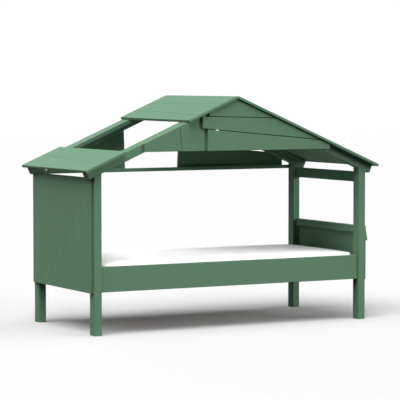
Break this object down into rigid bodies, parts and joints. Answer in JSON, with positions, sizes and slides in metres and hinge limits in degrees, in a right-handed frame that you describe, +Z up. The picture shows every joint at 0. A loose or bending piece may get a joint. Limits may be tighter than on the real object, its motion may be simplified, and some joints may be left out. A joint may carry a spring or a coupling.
{
  "type": "treehouse bed",
  "caption": "Child's single bed with a gabled roof of irregular painted boards on corner posts, boarded head end, low foot end and open sides.",
  "frame": {"origin": "centre of the footprint's bounding box, at floor level", "axes": "+X along the bed from the head end to the foot end, +Y from the open front to the back, +Z up"},
  "size_m": [2.3148, 1.0564, 1.5995],
  "materials": {
    "painted_wood": "satin sage-green opaque paint over fine wood, arrises slightly eased",
    "raw_wood": "planed, unfinished pine",
    "mattress_cover": "matt white knitted cover",
    "webbing": "woven cotton webbing",
    "zinc_steel": "zinc-plated pressed steel"
  },
  "bodies": {
    "root": {"post_front_left": "painted_wood", "post_front_right": "painted_wood", "post_back_left": "painted_wood", "post_back_right": "painted_wood", "side_rail_front": "painted_wood", "side_rail_back": "painted_wood", "head_rail_lower": "painted_wood", "head_rail_middle": "painted_wood", "head_rail_upper": "painted_wood", "foot_rail_lower": "painted_wood", "foot_rail_middle": "painted_wood", "foot_rail_upper": "painted_wood", "rafter_front_left": "painted_wood", "rafter_front_right": "painted_wood", "rafter_back_left": "painted_wood", "rafter_back_right": "painted_wood", "roof_batten_front_left": "painted_wood", "roof_batten_front_right": "painted_wood", "roof_batten_back_left": "painted_wood", "roof_batten_back_right": "painted_wood", "gable_front_left": "painted_wood", "gable_front_inner": "painted_wood", "gable_front_backing": "painted_wood", "gable_ridge_board": "painted_wood", "gable_middle_board": "painted_wood", "gable_lower_board": "painted_wood", "gable_back_batten": "painted_wood", "gable_back_left": "painted_wood", "gable_back_right": "painted_wood", "footboard": "painted_wood", "foot_slant_board": "painted_wood", "headboard_1": "painted_wood", "headboard_2": "painted_wood", "headboard_3": "painted_wood", "headboard_4": "painted_wood", "headboard_5": "painted_wood", "headboard_6": "painted_wood", "headboard_7": "painted_wood", "roof_left_1": "painted_wood", "roof_left_2": "painted_wood", "roof_left_3": "painted_wood", "roof_left_4": "painted_wood", "roof_left_5": "painted_wood", "roof_right_1": "painted_wood", "roof_right_2": "painted_wood", "roof_right_3": "painted_wood", "roof_right_4": "painted_wood", "roof_right_5": "painted_wood", "roof_right_6": "painted_wood", "roof_right_7": "painted_wood", "roof_right_8": "painted_wood", "roof_right_9": "painted_wood", "ledger_front": "raw_wood", "ledger_back": "raw_wood", "slats": "raw_wood", "dowels": "raw_wood", "slat_straps": "webbing", "mattress": "mattress_cover", "corner_brackets": "zinc_steel", "bracket_screws": "zinc_steel"}
  },
  "joints": []
}
